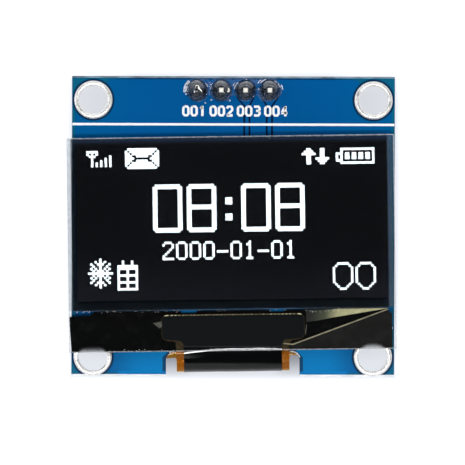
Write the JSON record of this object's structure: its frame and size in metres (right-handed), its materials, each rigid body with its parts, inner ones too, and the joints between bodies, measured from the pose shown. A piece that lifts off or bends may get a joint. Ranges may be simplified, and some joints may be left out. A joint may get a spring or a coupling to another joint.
{
  "type": "oled display module",
  "caption": "Small monochrome display panel on a blue carrier board, with corner mounting holes, a folded film cable and a pin header on the back.",
  "frame": {"origin": "centre of the four mounting holes, on the back face of the board", "axes": "+Z out of the display towards the viewer, +Y towards the header edge, +X to the viewer's right"},
  "size_m": [0.0345, 0.0314, 0.0114],
  "materials": {
    "board": "blue solder mask on glass laminate, satin gloss",
    "mask_over_copper": "blue solder mask over copper foil, satin gloss",
    "white_print": "matt white printed ink",
    "header_plastic": "moulded black plastic, satin",
    "foam_tape": "black double-sided foam tape",
    "clear_glass": "thin clear flat glass",
    "desiccant": "chalky getter sheet",
    "seal": "cured clear-grey epoxy",
    "emitter": "dark layered film, lit dots cool white",
    "polarizer": "dark neutral film with a hard clear coat",
    "amber_film": "translucent amber film",
    "black_film": "glossy blue-black cover film",
    "silicon": "ground silicon",
    "gold": "thin bright gold plating",
    "tinned": "hot-tinned copper, bright and slightly wavy",
    "solder": "bright reflowed solder with clear flux",
    "pin_metal": "pale gold flash over brass",
    "black_tape": "black light-blocking tape, satin",
    "beige_tape": "beige tape backing",
    "moulded_package": "black moulding compound, fine matt",
    "resistor_body": "black glazed top on white alumina",
    "capacitor_body": "tan fired ceramic"
  },
  "bodies": {
    "root": {"bond_fingers": "gold", "cap_glass": "clear_glass", "capacitor_1": "capacitor_body", "capacitor_2": "capacitor_body", "capacitor_3": "capacitor_body", "capacitor_4": "capacitor_body", "capacitor_5": "capacitor_body", "capacitor_6": "capacitor_body", "capacitor_7": "capacitor_body", "capacitor_8": "capacitor_body", "chip_solder": "tinned", "circuit_board": "board", "desiccant_sheet": "desiccant", "diode_body": "moulded_package", "diode_leads": "tinned", "display_glass": "clear_glass", "driver_chip": "silicon", "emitter_film": "emitter", "flex_cable": "amber_film", "flex_cover": "black_film", "front_pour": "mask_over_copper", "header_housing": "header_plastic", "header_pin_1": "pin_metal", "header_pin_2": "pin_metal", "header_pin_3": "pin_metal", "header_pin_4": "pin_metal", "liner_corner": "beige_tape", "mounting_pad": "foam_tape", "mounting_ring_1": "tinned", "mounting_ring_2": "tinned", "mounting_ring_3": "tinned", "mounting_ring_4": "tinned", "overlap_tape": "black_tape", "polarizer": "polarizer", "regulator_body": "moulded_package", "regulator_leads": "tinned", "resistor_1": "resistor_body", "resistor_2": "resistor_body", "resistor_3": "resistor_body", "resistor_4": "resistor_body", "resistor_5": "resistor_body", "resistor_6": "resistor_body", "seal_frame": "seal", "shield_tape": "black_tape", "signal_trace_1": "mask_over_copper", "signal_trace_2": "mask_over_copper", "silk_line": "white_print", "solder_joint_1": "solder", "solder_joint_2": "solder", "solder_joint_3": "solder", "solder_joint_4": "solder", "tail_fingers": "tinned"}
  },
  "joints": []
}
